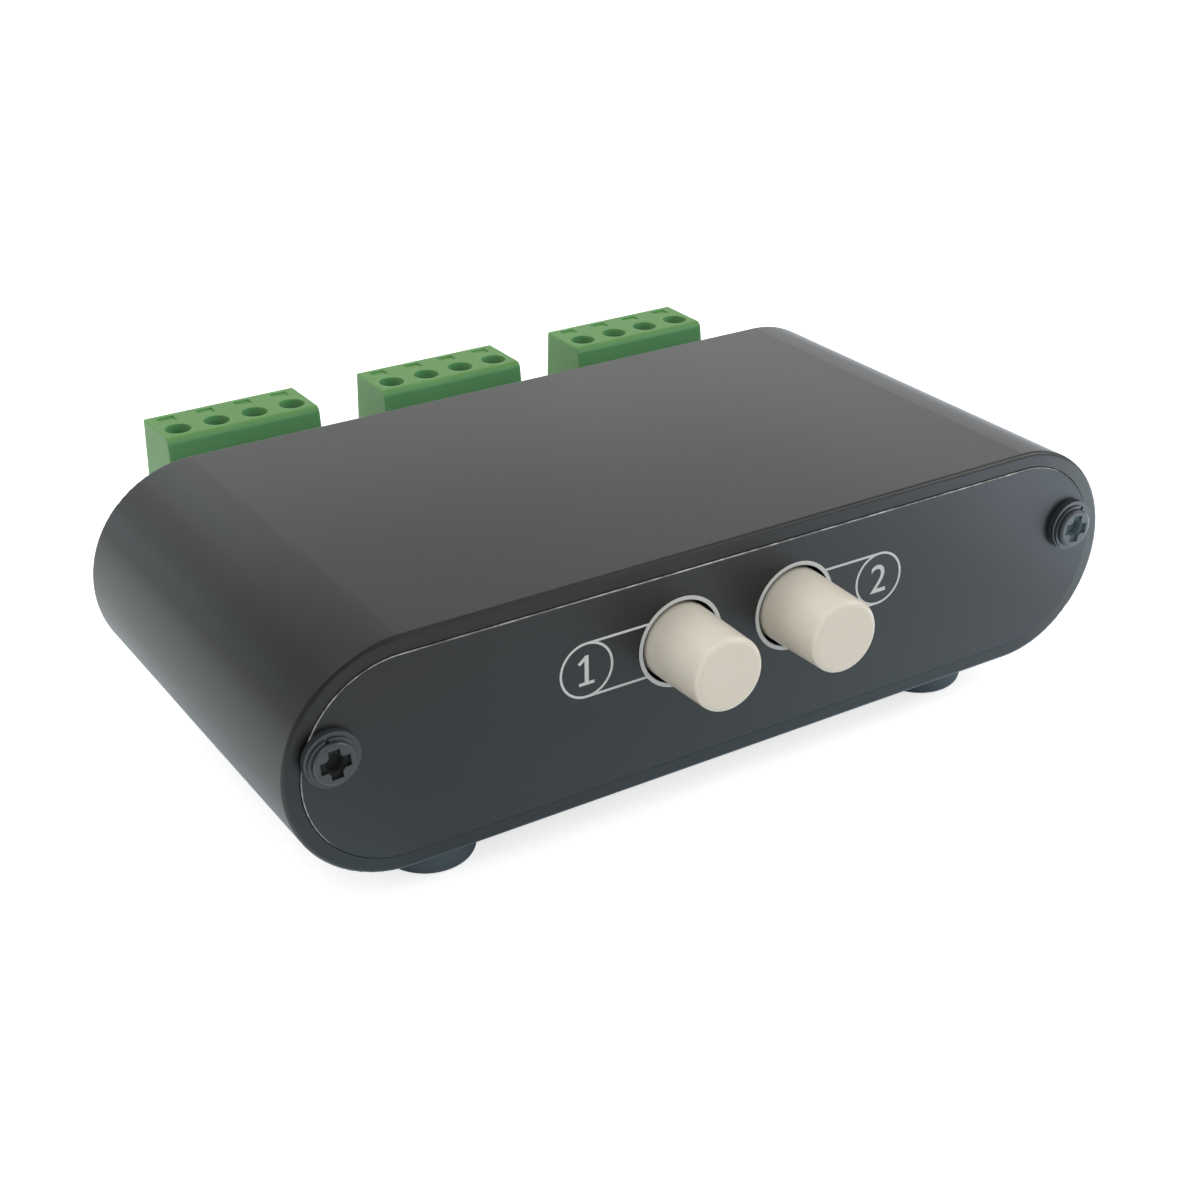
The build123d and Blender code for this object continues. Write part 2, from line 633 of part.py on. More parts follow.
# ---- Terminal plugs ----
for number, x in enumerate(connector_places, 1):
    with BuildPart() as plug:
        with BuildSketch(facing_right(x - plug_width / 2)):
            with BuildLine():
                Polyline(
                    (plug_front, plug_bottom_height),
                    (plug_back, plug_bottom_height),
                    (plug_back, back_lean_height),
                    (plug_back - plug_back_lean, plug_top_height),
                    (ledge_front + plug_front_lean, plug_top_height),
                    (ledge_front, ledge_height),
                    (plug_front, ledge_height),
                    close=True,
                )
            make_face()
        extrude(amount=plug_width)
        top_edges = plug.faces().sort_by(Axis.Z)[-1].edges()
        fillet(top_edges.filter_by(Axis.X).sort_by(Axis.Y)[0], plug_top_edge_radius)
        end_faces = plug.faces().filter_by(Axis.X)
        fillet(end_faces.edges(), plug_corner_radius)
        with BuildSketch(facing_front(plug_front, x, header_middle_height)):
            Rectangle(nose_width, nose_height)
        extrude(amount=plug_front - nose_front)
        chamfer(plug.faces().sort_by(Axis.Y)[0].edges(), nose_tip_chamfer)
        for pole in pole_offsets:
            with BuildSketch(facing_up(cage_space_floor, x + pole, clamp_row)):
                Rectangle(cage_space_width, cage_space_depth)
            extrude(amount=cage_space_top - cage_space_floor, mode=Mode.SUBTRACT)
            with BuildSketch(facing_up(cage_space_top, x + pole, clamp_row)):
                Circle(clamp_screw_radius + clamp_neck_clearance)
            extrude(amount=shoulder_thickness, mode=Mode.SUBTRACT)
            with BuildSketch(facing_up(shoulder_top_height, x + pole, clamp_row)):
                Circle(access_hole_radius)
            extrude(amount=plug_top_height - shoulder_top_height, mode=Mode.SUBTRACT)
            slot_back = plug_back - plug_back_lean - test_slot_from_back
            with BuildSketch(facing_up(plug_top_height, x + pole, slot_back - test_slot_length / 2)):
                Rectangle(test_slot_width, test_slot_length)
            extrude(amount=-test_slot_depth, mode=Mode.SUBTRACT)
            with BuildSketch(facing_back(plug_back, x + pole, wire_entry_height)):
                Circle(wire_entry_radius)
            extrude(amount=clamp_row - plug_back, mode=Mode.SUBTRACT)
            with BuildSketch(facing_back(plug_back, x + pole, wire_entry_height)):
                Rectangle(wire_funnel_width, wire_funnel_height)
            extrude(amount=-wire_funnel_depth, mode=Mode.SUBTRACT)
            channel_bottom = socket_bottom_height - socket_clearance
            channel_top = tongue_top_height + socket_clearance
            channel_middle = (channel_bottom + channel_top) / 2
            with BuildSketch(facing_front(nose_front, x + pole, channel_middle)):
                Rectangle(socket_width + 2 * socket_clearance, channel_top - channel_bottom)
            extrude(amount=nose_front - clamp_row, mode=Mode.SUBTRACT)
    save(plug, f"plug_{number}_housing")

    with BuildPart() as sockets:
        tongue_back = clamp_row + cage_depth / 2
        for pole in pole_offsets:
            socket_middle = (socket_bottom_height + tongue_top_height) / 2
            with BuildSketch(facing_back(socket_front, x + pole, socket_middle)):
                Rectangle(socket_width, tongue_top_height - socket_bottom_height)
            extrude(amount=socket_back - socket_front)
            with BuildSketch(facing_back(socket_front, x + pole, header_middle_height)):
                Rectangle(pin_width + 2 * socket_clearance, pin_width + 2 * socket_clearance)
            extrude(amount=socket_back - socket_front, mode=Mode.SUBTRACT)
            tongue_middle = (tongue_bottom_height + tongue_top_height) / 2
            with BuildSketch(facing_back(socket_back, x + pole, tongue_middle)):
                Rectangle(tongue_width, tongue_thickness)
            extrude(amount=tongue_back - socket_back)
    save(sockets, f"plug_{number}_sockets")

    for place, pole in enumerate(pole_offsets, 1):
        with BuildPart() as clamp_screw:
            with BuildSketch(facing_up(clamp_tip_height, x + pole, clamp_row)):
                Circle(clamp_screw_radius)
            extrude(amount=clamp_head_base - clamp_tip_height)
            with BuildSketch(facing_up(clamp_head_base, x + pole, clamp_row)):
                Circle(clamp_head_radius)
            extrude(amount=clamp_head_height)
            chamfer(clamp_screw.edges().group_by(Axis.Z)[-1], clamp_head_chamfer)
            with BuildSketch(facing_up(clamp_head_top, x + pole, clamp_row)):
                Rectangle(2 * clamp_head_radius, clamp_slot_width, rotation=place * clamp_slot_turn)
            extrude(amount=-clamp_slot_depth, mode=Mode.SUBTRACT)
        save(clamp_screw, f"plug_{number}_clamp_screw_{place}")

        with BuildPart() as cage:
            with BuildSketch(facing_up(cage_bottom_height, x + pole, clamp_row)):
                Rectangle(cage_width, cage_depth)
            extrude(amount=cage_height)
            with BuildSketch(facing_up(cage_bottom_height + cage_floor, x + pole, clamp_row)):
                Rectangle(cage_opening_width, cage_depth)
            extrude(amount=cage_opening_top - cage_bottom_height - cage_floor, mode=Mode.SUBTRACT)
            with BuildSketch(facing_up(cage_opening_top, x + pole, clamp_row)):
                Circle(clamp_screw_radius + clamp_thread_clearance)
            extrude(amount=cage_top, mode=Mode.SUBTRACT)
        save(cage, f"plug_{number}_clamp_cage_{place}")
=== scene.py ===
import json
import math

import bmesh
import bpy
from mathutils import Euler, Matrix, Vector


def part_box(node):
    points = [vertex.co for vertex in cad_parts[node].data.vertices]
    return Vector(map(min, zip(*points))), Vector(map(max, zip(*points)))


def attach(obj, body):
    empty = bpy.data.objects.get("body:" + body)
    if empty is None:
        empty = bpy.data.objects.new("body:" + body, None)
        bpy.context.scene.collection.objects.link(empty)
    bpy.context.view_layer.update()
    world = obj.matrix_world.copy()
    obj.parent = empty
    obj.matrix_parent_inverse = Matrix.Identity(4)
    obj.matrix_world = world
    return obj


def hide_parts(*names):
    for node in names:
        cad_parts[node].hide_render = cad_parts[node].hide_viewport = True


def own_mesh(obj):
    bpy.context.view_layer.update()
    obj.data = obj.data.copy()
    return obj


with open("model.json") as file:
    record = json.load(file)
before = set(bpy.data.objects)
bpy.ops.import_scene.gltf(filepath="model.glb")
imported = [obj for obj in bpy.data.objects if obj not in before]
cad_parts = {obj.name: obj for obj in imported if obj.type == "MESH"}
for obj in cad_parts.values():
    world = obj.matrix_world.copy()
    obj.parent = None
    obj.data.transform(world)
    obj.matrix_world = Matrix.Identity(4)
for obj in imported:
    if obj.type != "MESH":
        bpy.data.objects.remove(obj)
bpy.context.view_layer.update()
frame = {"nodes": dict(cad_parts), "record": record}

# A two-button speaker selector in a low obround case: its finishes, its two return springs, its
# printed front, and the floor, lamps and camera. Everything is in metres, in the frame of the
# solids: +X to the right, +Y to the back, +Z up, with the table top at z = 0.

MM = 0.001


# ---------------------------------------------------------------- places read from the solids
def middle(node):
    """The middle of a solid's box."""
    low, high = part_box(node)
    return (low + high) / 2


case_low, case_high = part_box("case_tube")
case_middle = middle("case_tube")
panel_low, panel_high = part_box("front_panel")
button_middles = [middle("button_1_cap"), middle("button_2_cap")]
screw_low, screw_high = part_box("panel_screws")
screw_middle = middle("panel_screws")
screw_head_radius = (screw_high.z - screw_low.z) / 2


# ---------------------------------------------------------------- node helpers
def feed(tree, socket, value):
    """Links a socket to another node's output, or sets it to a plain value."""
    if isinstance(value, bpy.types.NodeSocket):
        tree.links.new(value, socket)
    else:
        socket.default_value = value


def add_node(tree, kind, settings=None, **inputs):
    """A shader node with its settings, and with its inputs fed by their names."""
    made = tree.nodes.new(kind)
    for key, value in (settings or {}).items():
        setattr(made, key, value)
    for key, value in inputs.items():
        feed(tree, made.inputs[key.replace("_", " ")], value)
    return made


def math_node(tree, operation, first, second=0.0):
    made = add_node(tree, "ShaderNodeMath", {"operation": operation})
    for socket, value in zip(made.inputs, (first, second)):
        feed(tree, socket, value)
    return made.outputs["Value"]


def product(tree, first, *others):
    for other in others:
        first = math_node(tree, "MULTIPLY", first, other)
    return first


def total(tree, first, *others):
    for other in others:
        first = math_node(tree, "ADD", first, other)
    return first


def from_axis(tree, across, height):
    """How far a place is from an axis, given how far across and how high it lies from it."""
    squares = total(tree, product(tree, across, across), product(tree, height, height))
    return math_node(tree, "SQRT", squares)


def parts_of(tree, vector):
    """A vector's X, Y and Z."""
    parts = add_node(tree, "ShaderNodeSeparateXYZ", Vector=vector).outputs
    return parts["X"], parts["Y"], parts["Z"]


def facing(tree):
    """Which way the surface faces, as how far it does so to the right, the back and the top."""
    return parts_of(tree, add_node(tree, "ShaderNodeTexCoord").outputs["Normal"])


def object_place(tree, scale=(1.0, 1.0, 1.0)):
    """Object coordinates, stretched along each axis by scale."""
    place = add_node(tree, "ShaderNodeTexCoord").outputs["Object"]
    return add_node(tree, "ShaderNodeMapping", Vector=place, Scale=scale).outputs["Vector"]


def noise(tree, place, scale, detail=2.0, roughness=0.5):
    made = add_node(
        tree, "ShaderNodeTexNoise", Vector=place, Scale=scale, Detail=detail, Roughness=roughness
    )
    return made.outputs["Fac"]


def spread(tree, value, low, high, start=0.0, end=1.0):
    """value, taken from start..end to low..high, and held at low or high outside them."""
    made = add_node(
        tree,
        "ShaderNodeMapRange",
        Value=value,
        From_Min=start,
        From_Max=end,
        To_Min=low,
        To_Max=high,
    )
    return made.outputs["Result"]


def mix_colour(tree, share, first, second):
    """The first colour where share is 0, and the second where it is 1."""
    made = add_node(tree, "ShaderNodeMix", {"data_type": "RGBA"})
    # A Mix node has sockets of the same name for each kind of data, so they go by number here.
    factor, first_socket, second_socket = (made.inputs[number] for number in (0, 6, 7))
    feed(tree, factor, share)
    for socket, colour in ((first_socket, first), (second_socket, second)):
        feed(tree, socket, (*colour, 1.0) if isinstance(colour, tuple) else colour)
    return made.outputs[2]


def bump(tree, height, distance, strength):
    made = add_node(tree, "ShaderNodeBump", Height=height, Distance=distance, Strength=strength)
    return made.outputs["Normal"]


def new_material(name, **constants):
    """A material with constant values set on its shader's own sockets."""
    made = bpy.data.materials.new(name)
    made.use_nodes = True
    shader = made.node_tree.nodes["Principled BSDF"]
    for key, value in constants.items():
        shader.inputs[key.replace("_", " ")].default_value = value
    return made, made.node_tree, shader


def connect(tree, shader, **sockets):
    for key, socket in sockets.items():
        tree.links.new(socket, shader.inputs[key.replace("_", " ")])


# ---------------------------------------------------------------- colours
# The darker and the lighter colour of each cloudy finish, as red, green and blue.
tube_black = ((0.006, 0.0063, 0.0062), (0.0085, 0.0088, 0.0086))
panel_black = ((0.0045, 0.005, 0.006), (0.007, 0.0077, 0.009))
steel_black = ((0.03, 0.034, 0.038), (0.065, 0.071, 0.077))
rubber_black = ((0.04, 0.057, 0.069), (0.052, 0.072, 0.087))
ivory = ((0.68, 0.625, 0.52), (0.72, 0.665, 0.565))
# Painted light: the paler ivory of the caps' left sides.
ivory_painted_lit = ((0.77, 0.71, 0.595), (0.81, 0.75, 0.64))
green = ((0.112, 0.29, 0.118), (0.14, 0.33, 0.145))
# Painted light and shade: the plugs' green where it faces the front, the left and the top.
green_painted_front = ((0.12, 0.33, 0.134), (0.15, 0.375, 0.165))
green_painted_left = ((0.135, 0.288, 0.107), (0.168, 0.328, 0.132))
green_painted_top = ((0.1, 0.243, 0.064), (0.124, 0.276, 0.083))
solder_mask = ((0.01, 0.1, 0.035), (0.015, 0.13, 0.05))
ink_grey = ((0.5, 0.51, 0.5), (0.64, 0.65, 0.64))

# Single colours.
# The tube's ends: darker all over as painted shade, and paler towards the right as a painted
# sheen.
end_painted_shade = (0.002, 0.0021, 0.0021)
end_painted_sheen = (0.045, 0.048, 0.043)
bare_metal = (0.6, 0.6, 0.59)
# The screws' crosses: painted shade on the left, a painted glare on the right.
recess_painted_shade = (0.004, 0.0045, 0.005)
recess_painted_glare = (0.1, 0.14, 0.165)
covered_track = (0.03, 0.22, 0.08)


# ---------------------------------------------------------------- the tube's black
# A place this near to either end of the tube is all cut face, and past the fade it is all outside.
cut_face = 0.02 * MM
cut_fade = 0.08 * MM

# The ends are painted paler towards the tube's right side, a painted sheen, from the start to the
# full amount.
sheen_start = 11 * MM
sheen_full = 2 * MM

# How much the tube's top reflects less, as painted shade in its reflection, and the spans in depth
# and across where that fades.
plain_shine = 0.5
corner_shade = 0.16
corner_depth = (-25 * MM, -3 * MM)
corner_width = (-49 * MM, -39 * MM)
front_shade = 0.09
front_depth = (-12 * MM, 12 * MM)
front_width = (14 * MM, 34 * MM)
shade_rise = (2 * MM, 11 * MM)


def cut_ends(tree, plain):
    """1 on the tube's two sawn ends and 0 on its outside; then how much painted sheen the ends
    take.
    """
    across, depth, _ = parts_of(tree, plain)
    front = spread(tree, depth, 1.0, 0.0, case_low.y + cut_face, case_low.y + cut_fade)
    back = spread(tree, depth, 0.0, 1.0, case_high.y - cut_fade, case_high.y - cut_face)
    sheen_share = spread(tree, across, 0.0, 1.0, case_high.x - sheen_start, case_high.x - sheen_full)
    return total(tree, front, back), sheen_share


def reflection_shade(tree, plain):
    """How much painted shade dims the tube top's reflection near the front, most of all at its
    left corner.
    """
    across, depth, height = parts_of(tree, plain)
    corner = product(
        tree,
        spread(tree, depth, corner_shade, 0.0, *corner_depth),
        spread(tree, across, 1.0, 0.0, *corner_width),
    )
    front = product(
        tree,
        spread(tree, depth, front_shade, 0.0, *front_depth),
        spread(tree, across, 1.0, 0.0, *front_width),
    )
    low, high = (case_middle.z + rise for rise in shade_rise)
    return product(tree, total(tree, corner, front), spread(tree, height, 0.0, 1.0, low, high))


def black_anodised():
    """Fine blasted and anodised aluminium, with faint lines along the extrusion."""
    made, tree, shader = new_material("black_anodised", IOR=1.5)
    plain = object_place(tree)
    ends, sheen_share = cut_ends(tree, plain)
    grain = noise(tree, plain, 5200.0, detail=3.0, roughness=0.6)
    lines = noise(tree, object_place(tree, (1.0, 0.02, 1.0)), 1500.0)
    cloud = noise(tree, plain, 45.0, detail=3.0)
    outside_tint = mix_colour(tree, cloud, *tube_black)
    # The ends' colour is painted light: darker as painted shade, paler towards the right as
    # painted sheen.
    end_tint = mix_colour(tree, sheen_share, end_painted_shade, end_painted_sheen)
    cloudy_rough = spread(tree, cloud, 0.27, 0.32)
    lined_rough = spread(tree, lines, -0.02, 0.02)
    end_rough = product(tree, ends, 0.12)
    height = total(tree, grain, product(tree, lines, 0.35))
    outside = math_node(tree, "SUBTRACT", 1.0, ends)
    # Painted shade: the top reflects less near the front, most of all at the left corner.
    painted_reflection_shade = product(tree, reflection_shade(tree, plain), outside)
    connect(
        tree,
        shader,
        Base_Color=mix_colour(tree, ends, outside_tint, end_tint),
        Roughness=total(tree, cloudy_rough, lined_rough, end_rough),
        Specular_IOR_Level=math_node(tree, "SUBTRACT", plain_shine, painted_reflection_shade),
        Normal=bump(tree, height, 0.012 * MM, 0.5),
    )
    return made


# ---------------------------------------------------------------- the panels' black
# How far the bare metal goes in from a panel's edge and back from its face, how steeply its lower
# limit rises to the right, and how far it takes to fade in above that; keeping it to the top and
# the left end, where the edge catches the light, makes it partly a painted highlight. Then how
# bare the metal is between the runs and in them, and the noise's values where it turns from one
# to the other.
bare_edge_width = 0.1 * MM
bare_edge_depth = 0.3 * MM
highlight_lean = 0.17
highlight_rise = 2.5 * MM
bare_between_runs = 0.22
bare_in_runs = 0.72
run_noise = (0.42, 0.6)


def panel_wear_and_highlight(tree, plain):
    """Where a panel's front edge shows bare metal, in runs: worn metal, kept to the top and the
    left end as a painted highlight.
    """
    across, depth, upright = parts_of(tree, plain)
    end_radius = (panel_high.z - panel_low.z) / 2
    from_middle = math_node(tree, "ABSOLUTE", across)
    past_straight = math_node(tree, "SUBTRACT", from_middle, panel_high.x - end_radius)
    past_straight = math_node(tree, "MAXIMUM", past_straight, 0.0)
    height = math_node(tree, "SUBTRACT", upright, (panel_low.z + panel_high.z) / 2)
    edge_low, edge_high = end_radius - bare_edge_width, end_radius - 0.6 * bare_edge_width
    edge = spread(tree, from_axis(tree, past_straight, height), 0.0, 1.0, edge_low, edge_high)
    face_front, face_back = panel_low.y + 0.6 * bare_edge_depth, panel_low.y + bare_edge_depth
    face = spread(tree, depth, 1.0, 0.0, face_front, face_back)
    # Painted highlight: the bare edge is kept to the top and the left, where it catches the light.
    lean = math_node(tree, "SUBTRACT", height, product(tree, across, highlight_lean))
    upper = spread(tree, lean, 0.0, 1.0, 0.0, highlight_rise)
    patches = noise(tree, plain, 420.0, detail=4.0, roughness=0.65)
    runs = spread(tree, patches, bare_between_runs, bare_in_runs, *run_noise)
    return product(tree, edge, face, upper, runs)


def panel_anodised():
    """The flat panels' smoother black, bare metal in short runs along their edges: wear, and a
    painted highlight on the top and left.
    """
    made, tree, shader = new_material("panel_anodised", IOR=1.5)
    plain = object_place(tree)
    grain = noise(tree, plain, 4200.0, detail=3.0, roughness=0.55)
    cloud = noise(tree, plain, 60.0, detail=3.0)
    worn_and_lit = panel_wear_and_highlight(tree, plain)
    black = mix_colour(tree, cloud, *panel_black)
    connect(
        tree,
        shader,
        Base_Color=mix_colour(tree, worn_and_lit, black, bare_metal),
        Metallic=product(tree, worn_and_lit, 0.7),
        Roughness=spread(tree, cloud, 0.33, 0.4),
        Normal=bump(tree, grain, 0.01 * MM, 0.45),
    )
    return made


# ---------------------------------------------------------------- screws, feet and mouldings
screw_recess_radius = 1.75 * MM
screw_recess_depth = 0.1 * MM
glare_across = (-1 * MM, 1 * MM)

# How far a surface has to face the left, the front or the top to take that side's painted light.
ivory_light_turn = (-0.85, -0.2)
green_light_turn = (-0.9, -0.3)
green_top_light_turn = (0.3, 0.9)


def screw_recesses(tree, plain):
    """1 inside the crosses of the panels' screws, where painted shade and painted glare go, and 0
    elsewhere.
    """
    across, depth, upright = parts_of(tree, plain)
    from_middle = math_node(tree, "SUBTRACT", across, screw_middle.x)
    from_middle = math_node(tree, "ABSOLUTE", from_middle)
    screw_off_middle = screw_high.x - screw_middle.x - screw_head_radius
    from_screw = math_node(tree, "SUBTRACT", from_middle, screw_off_middle)
    height = math_node(tree, "SUBTRACT", upright, screw_middle.z)
    from_screw = from_axis(tree, from_screw, height)
    inside = math_node(tree, "LESS_THAN", from_screw, screw_recess_radius)
    inwards = math_node(tree, "SUBTRACT", depth, screw_middle.y)
    inwards = math_node(tree, "ABSOLUTE", inwards)
    head = (screw_high.y - screw_low.y) / 2
    recess_floor, recess_rim = head - screw_recess_depth, head - 0.4 * screw_recess_depth
    below = spread(tree, inwards, 1.0, 0.0, recess_floor, recess_rim)
    return product(tree, inside, below)


def black_steel():
    """Blackened screws and washers, with painted shade in the left crosses and a painted glare in
    the right ones.
    """
    made, tree, shader = new_material("black_steel", IOR=1.6, Metallic=0.35)
    plain = object_place(tree)
    grain = noise(tree, plain, 3000.0, detail=3.0)
    cloud = noise(tree, plain, 400.0, detail=3.0)
    recesses = screw_recesses(tree, plain)
    across, _, _ = parts_of(tree, plain)
    to_right = spread(tree, across, 0.0, 1.0, *glare_across)
    # Painted light in the crosses: shade on the left, a pale glare on the right.
    recess_painted_light = mix_colour(tree, to_right, recess_painted_shade, recess_painted_glare)
    steel = mix_colour(tree, cloud, *steel_black)
    cloudy_rough = spread(tree, cloud, 0.24, 0.38)
    connect(
        tree,
        shader,
        Base_Color=mix_colour(tree, recesses, steel, recess_painted_light),
        Roughness=total(tree, cloudy_rough, product(tree, recesses, 0.5)),
        Normal=bump(tree, grain, 0.02 * MM, 0.4),
    )
    return made


def rubber():
    """The feet's rubber, with a fine grain."""
    made, tree, shader = new_material("rubber", IOR=1.5)
    plain = object_place(tree)
    grain = noise(tree, plain, 2500.0, detail=4.0)
    cloud = noise(tree, plain, 150.0, detail=3.0)
    connect(
        tree,
        shader,
        Base_Color=mix_colour(tree, cloud, *rubber_black),
        Roughness=spread(tree, cloud, 0.4, 0.55),
        Normal=bump(tree, grain, 0.03 * MM, 0.3),
    )
    return made


def ivory_plastic():
    """The caps' ivory, a little paler on their left sides as painted light."""
    made, tree, shader = new_material(
        "ivory_plastic", IOR=1.49, Subsurface_Weight=0.12, Subsurface_Scale=0.001
    )
    plain = object_place(tree)
    grain = noise(tree, plain, 1800.0, detail=3.0)
    cloud = noise(tree, plain, 130.0, detail=2.0)
    rightwards, _, _ = facing(tree)
    lit_left_share = spread(tree, rightwards, 1.0, 0.0, *ivory_light_turn)
    tint = mix_colour(tree, cloud, *ivory)
    painted_paler = mix_colour(tree, cloud, *ivory_painted_lit)
    connect(
        tree,
        shader,
        Base_Color=mix_colour(tree, lit_left_share, tint, painted_paler),
        Roughness=spread(tree, cloud, 0.26, 0.34),
        Normal=bump(tree, grain, 0.01 * MM, 0.3),
    )
    return made


def green_plastic():
    """The plugs' green, with painted light and shade: yellower where it faces the left, darker and
    yellower where it faces up, and lighter to the front.
    """
    made, tree, shader = new_material(
        "green_plastic",
        IOR=1.45,
        Specular_IOR_Level=0.3,
        Subsurface_Weight=0.35,
        Subsurface_Scale=0.0016,
        Subsurface_Radius=(0.6, 1.0, 0.5),
    )
    plain = object_place(tree)
    grain = noise(tree, plain, 2600.0, detail=4.0)
    cloud = noise(tree, plain, 180.0, detail=3.0)
    rightwards, backwards, upwards = facing(tree)
    lit_front_share = spread(tree, backwards, 1.0, 0.0, *green_light_turn)
    lit_left_share = spread(tree, rightwards, 1.0, 0.0, *green_light_turn)
    shaded_top_share = spread(tree, upwards, 0.0, 1.0, *green_top_light_turn)
    tint = mix_colour(tree, cloud, *green)
    # Painted light and shade by facing: lighter to the front, yellower to the left, darker and
    # yellower on top.
    painted_sides = ((lit_front_share, green_painted_front), (lit_left_share, green_painted_left), (shaded_top_share, green_painted_top))
    for share, colours in painted_sides:
        tint = mix_colour(tree, share, tint, mix_colour(tree, cloud, *colours))
    connect(
        tree,
        shader,
        Base_Color=tint,
        Roughness=spread(tree, cloud, 0.38, 0.5),
        Normal=bump(tree, grain, 0.03 * MM, 0.35),
    )
    return made


# ---------------------------------------------------------------- finishes of the inside
def circuit_board():
    """Green solder mask over copper tracks, which show as slightly lighter, raised bands."""
    made, tree, shader = new_material("board", IOR=1.5, Coat_Weight=0.3, Coat_Roughness=0.2)
    plain = object_place(tree)
    bands = add_node(
        tree,
        "ShaderNodeTexWave",
        {"wave_type": "BANDS", "bands_direction": "X"},
        Vector=plain,
        Scale=140.0,
        Distortion=2.0,
        Detail=0.0,
    ).outputs["Fac"]
    track = spread(tree, bands, 0.0, 1.0, 0.62, 0.68)
    cloud = noise(tree, plain, 300.0, detail=3.0)
    mask = mix_colour(tree, cloud, *solder_mask)
    connect(
        tree,
        shader,
        Base_Color=mix_colour(tree, track, mask, covered_track),
        Roughness=spread(tree, cloud, 0.3, 0.42),
        Normal=bump(tree, track, 0.04 * MM, 0.6),
    )
    return made


def moulded(name, dark, light):
    """A moulded plastic with a fine even grain, a little cloudy in its colour."""
    made, tree, shader = new_material(name, IOR=1.5)
    plain = object_place(tree)
    grain = noise(tree, plain, 2400.0, detail=3.0)
    cloud = noise(tree, plain, 200.0, detail=3.0)
    connect(
        tree,
        shader,
        Base_Color=mix_colour(tree, cloud, dark, light),
        Roughness=spread(tree, cloud, 0.4, 0.5),
        Normal=bump(tree, grain, 0.02 * MM, 0.4),
    )
    return made


def plated(name, dark, light):
    """Plated metal with fine drawn lines and a cloudy plating."""
    made, tree, shader = new_material(name, Metallic=1.0)
    lines = noise(tree, object_place(tree, (1.0, 1.0, 0.05)), 5000.0)
    cloud = noise(tree, object_place(tree), 500.0, detail=3.0)
    connect(
        tree,
        shader,
        Base_Color=mix_colour(tree, cloud, dark, light),
        Roughness=spread(tree, cloud, 0.22, 0.36),
        Normal=bump(tree, lines, 0.008 * MM, 0.5),
    )
    return made


def print_ink():
    """Screen-printed ink: pale grey, dry, with a slightly uneven film."""
    made, tree, shader = new_material("print_ink", IOR=1.45)
    film = noise(tree, object_place(tree), 3500.0, detail=3.0)
    connect(
        tree,
        shader,
        Base_Color=mix_colour(tree, film, *ink_grey),
        Roughness=spread(tree, film, 0.5, 0.7),
        Normal=bump(tree, film, 0.01 * MM, 0.4),
    )
    return made


finishes = {
    "black_anodised": black_anodised(),
    "panel_anodised": panel_anodised(),
    "black_steel": black_steel(),
    "rubber": rubber(),
    "ivory_plastic": ivory_plastic(),
    "green_plastic": green_plastic(),
    "board": circuit_board(),
    "switch_plastic": moulded("switch_plastic", (0.02, 0.02, 0.021), (0.03, 0.03, 0.031)),
    "slider_plastic": moulded("slider_plastic", (0.68, 0.67, 0.62), (0.76, 0.75, 0.7)),
    "base_plastic": moulded("base_plastic", (0.22, 0.12, 0.055), (0.34, 0.2, 0.1)),
    "tinned_brass": plated("tinned_brass", (0.68, 0.64, 0.56), (0.8, 0.78, 0.73)),
    "bright_steel": plated("bright_steel", (0.5, 0.51, 0.53), (0.66, 0.67, 0.69)),
}
ink = print_ink()

for subpart in frame["record"]["subparts"]:
    solid = frame["nodes"][subpart["node"]]
    for material_slot in solid.material_slots:
        material_slot.material = finishes[subpart["material_slot"]]


# ---------------------------------------------------------------- making a piece
def finish_piece(name, builder, material, body):
    """Turns a bmesh into an object at the origin that rides on a body."""
    mesh = bpy.data.meshes.new(name)
    bmesh.ops.recalc_face_normals(builder, faces=builder.faces)
    builder.to_mesh(mesh)
    builder.free()
    made = bpy.data.objects.new(name, mesh)
    bpy.context.scene.collection.objects.link(made)
    mesh.materials.append(material)
    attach(made, body)
    return made


# ---------------------------------------------------------------- return springs
# Corners of the solid's loose faces that lie this close are one, and an edge that turns by more
# than the angle stays sharp.
seam = 0.0001 * MM
corner_angle = math.radians(40)


def make_return_spring(number):
    """A switch's return spring, which in the switch shortens towards the back as its button goes
    in; here a fixed copy of its solid with its seams joined, riding on the case.
    """
    node = f"switch_{number}_return_spring"
    builder = bmesh.new()
    builder.from_mesh(frame["nodes"][node].data)
    bmesh.ops.remove_doubles(builder, verts=builder.verts, dist=seam)
    for face in builder.faces:
        face.smooth = True
    for edge in builder.edges:
        edge.smooth = edge.calc_face_angle(0.0) < corner_angle
    spring = finish_piece(f"{node}_coil", builder, finishes["bright_steel"], "case")
    spring.data.attributes.remove(spring.data.attributes["custom_normal"])
    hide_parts(node)
    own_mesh(spring)


for switch_number in (1, 2):
    make_return_spring(switch_number)


# ---------------------------------------------------------------- printed front
# Print that crosses other print is thinner, so that no two faces share a plane.
ink_thickness = 0.02 * MM
crossing_thickness = 0.85 * ink_thickness
flag_thickness = 0.7 * ink_thickness

ring_radius = 5.36 * MM
ring_line = 0.46 * MM
ring_steps = 96

label_sides = (-1, 1)
label_from_button = (11.93 * MM, 11.97 * MM)
label_rise = 0.12 * MM
label_radius = 3.3 * MM
label_line = 0.28 * MM
label_steps = 72

numeral_height = 3.5 * MM
one_stem = 0.5 * MM
one_foot = (1.9 * MM, 0.36 * MM)
one_flag = (1.15 * MM, 0.4 * MM)
one_flag_place = Vector((-0.5 * MM, 0, 1.2 * MM))
one_flag_turn = 38.0

facing_front = Matrix.Rotation(math.radians(90), 4, "X")
label_middles = [
    Vector((place.x + side * away, panel_low.y, place.z + label_rise))
    for place, side, away in zip(button_middles, label_sides, label_from_button)
]


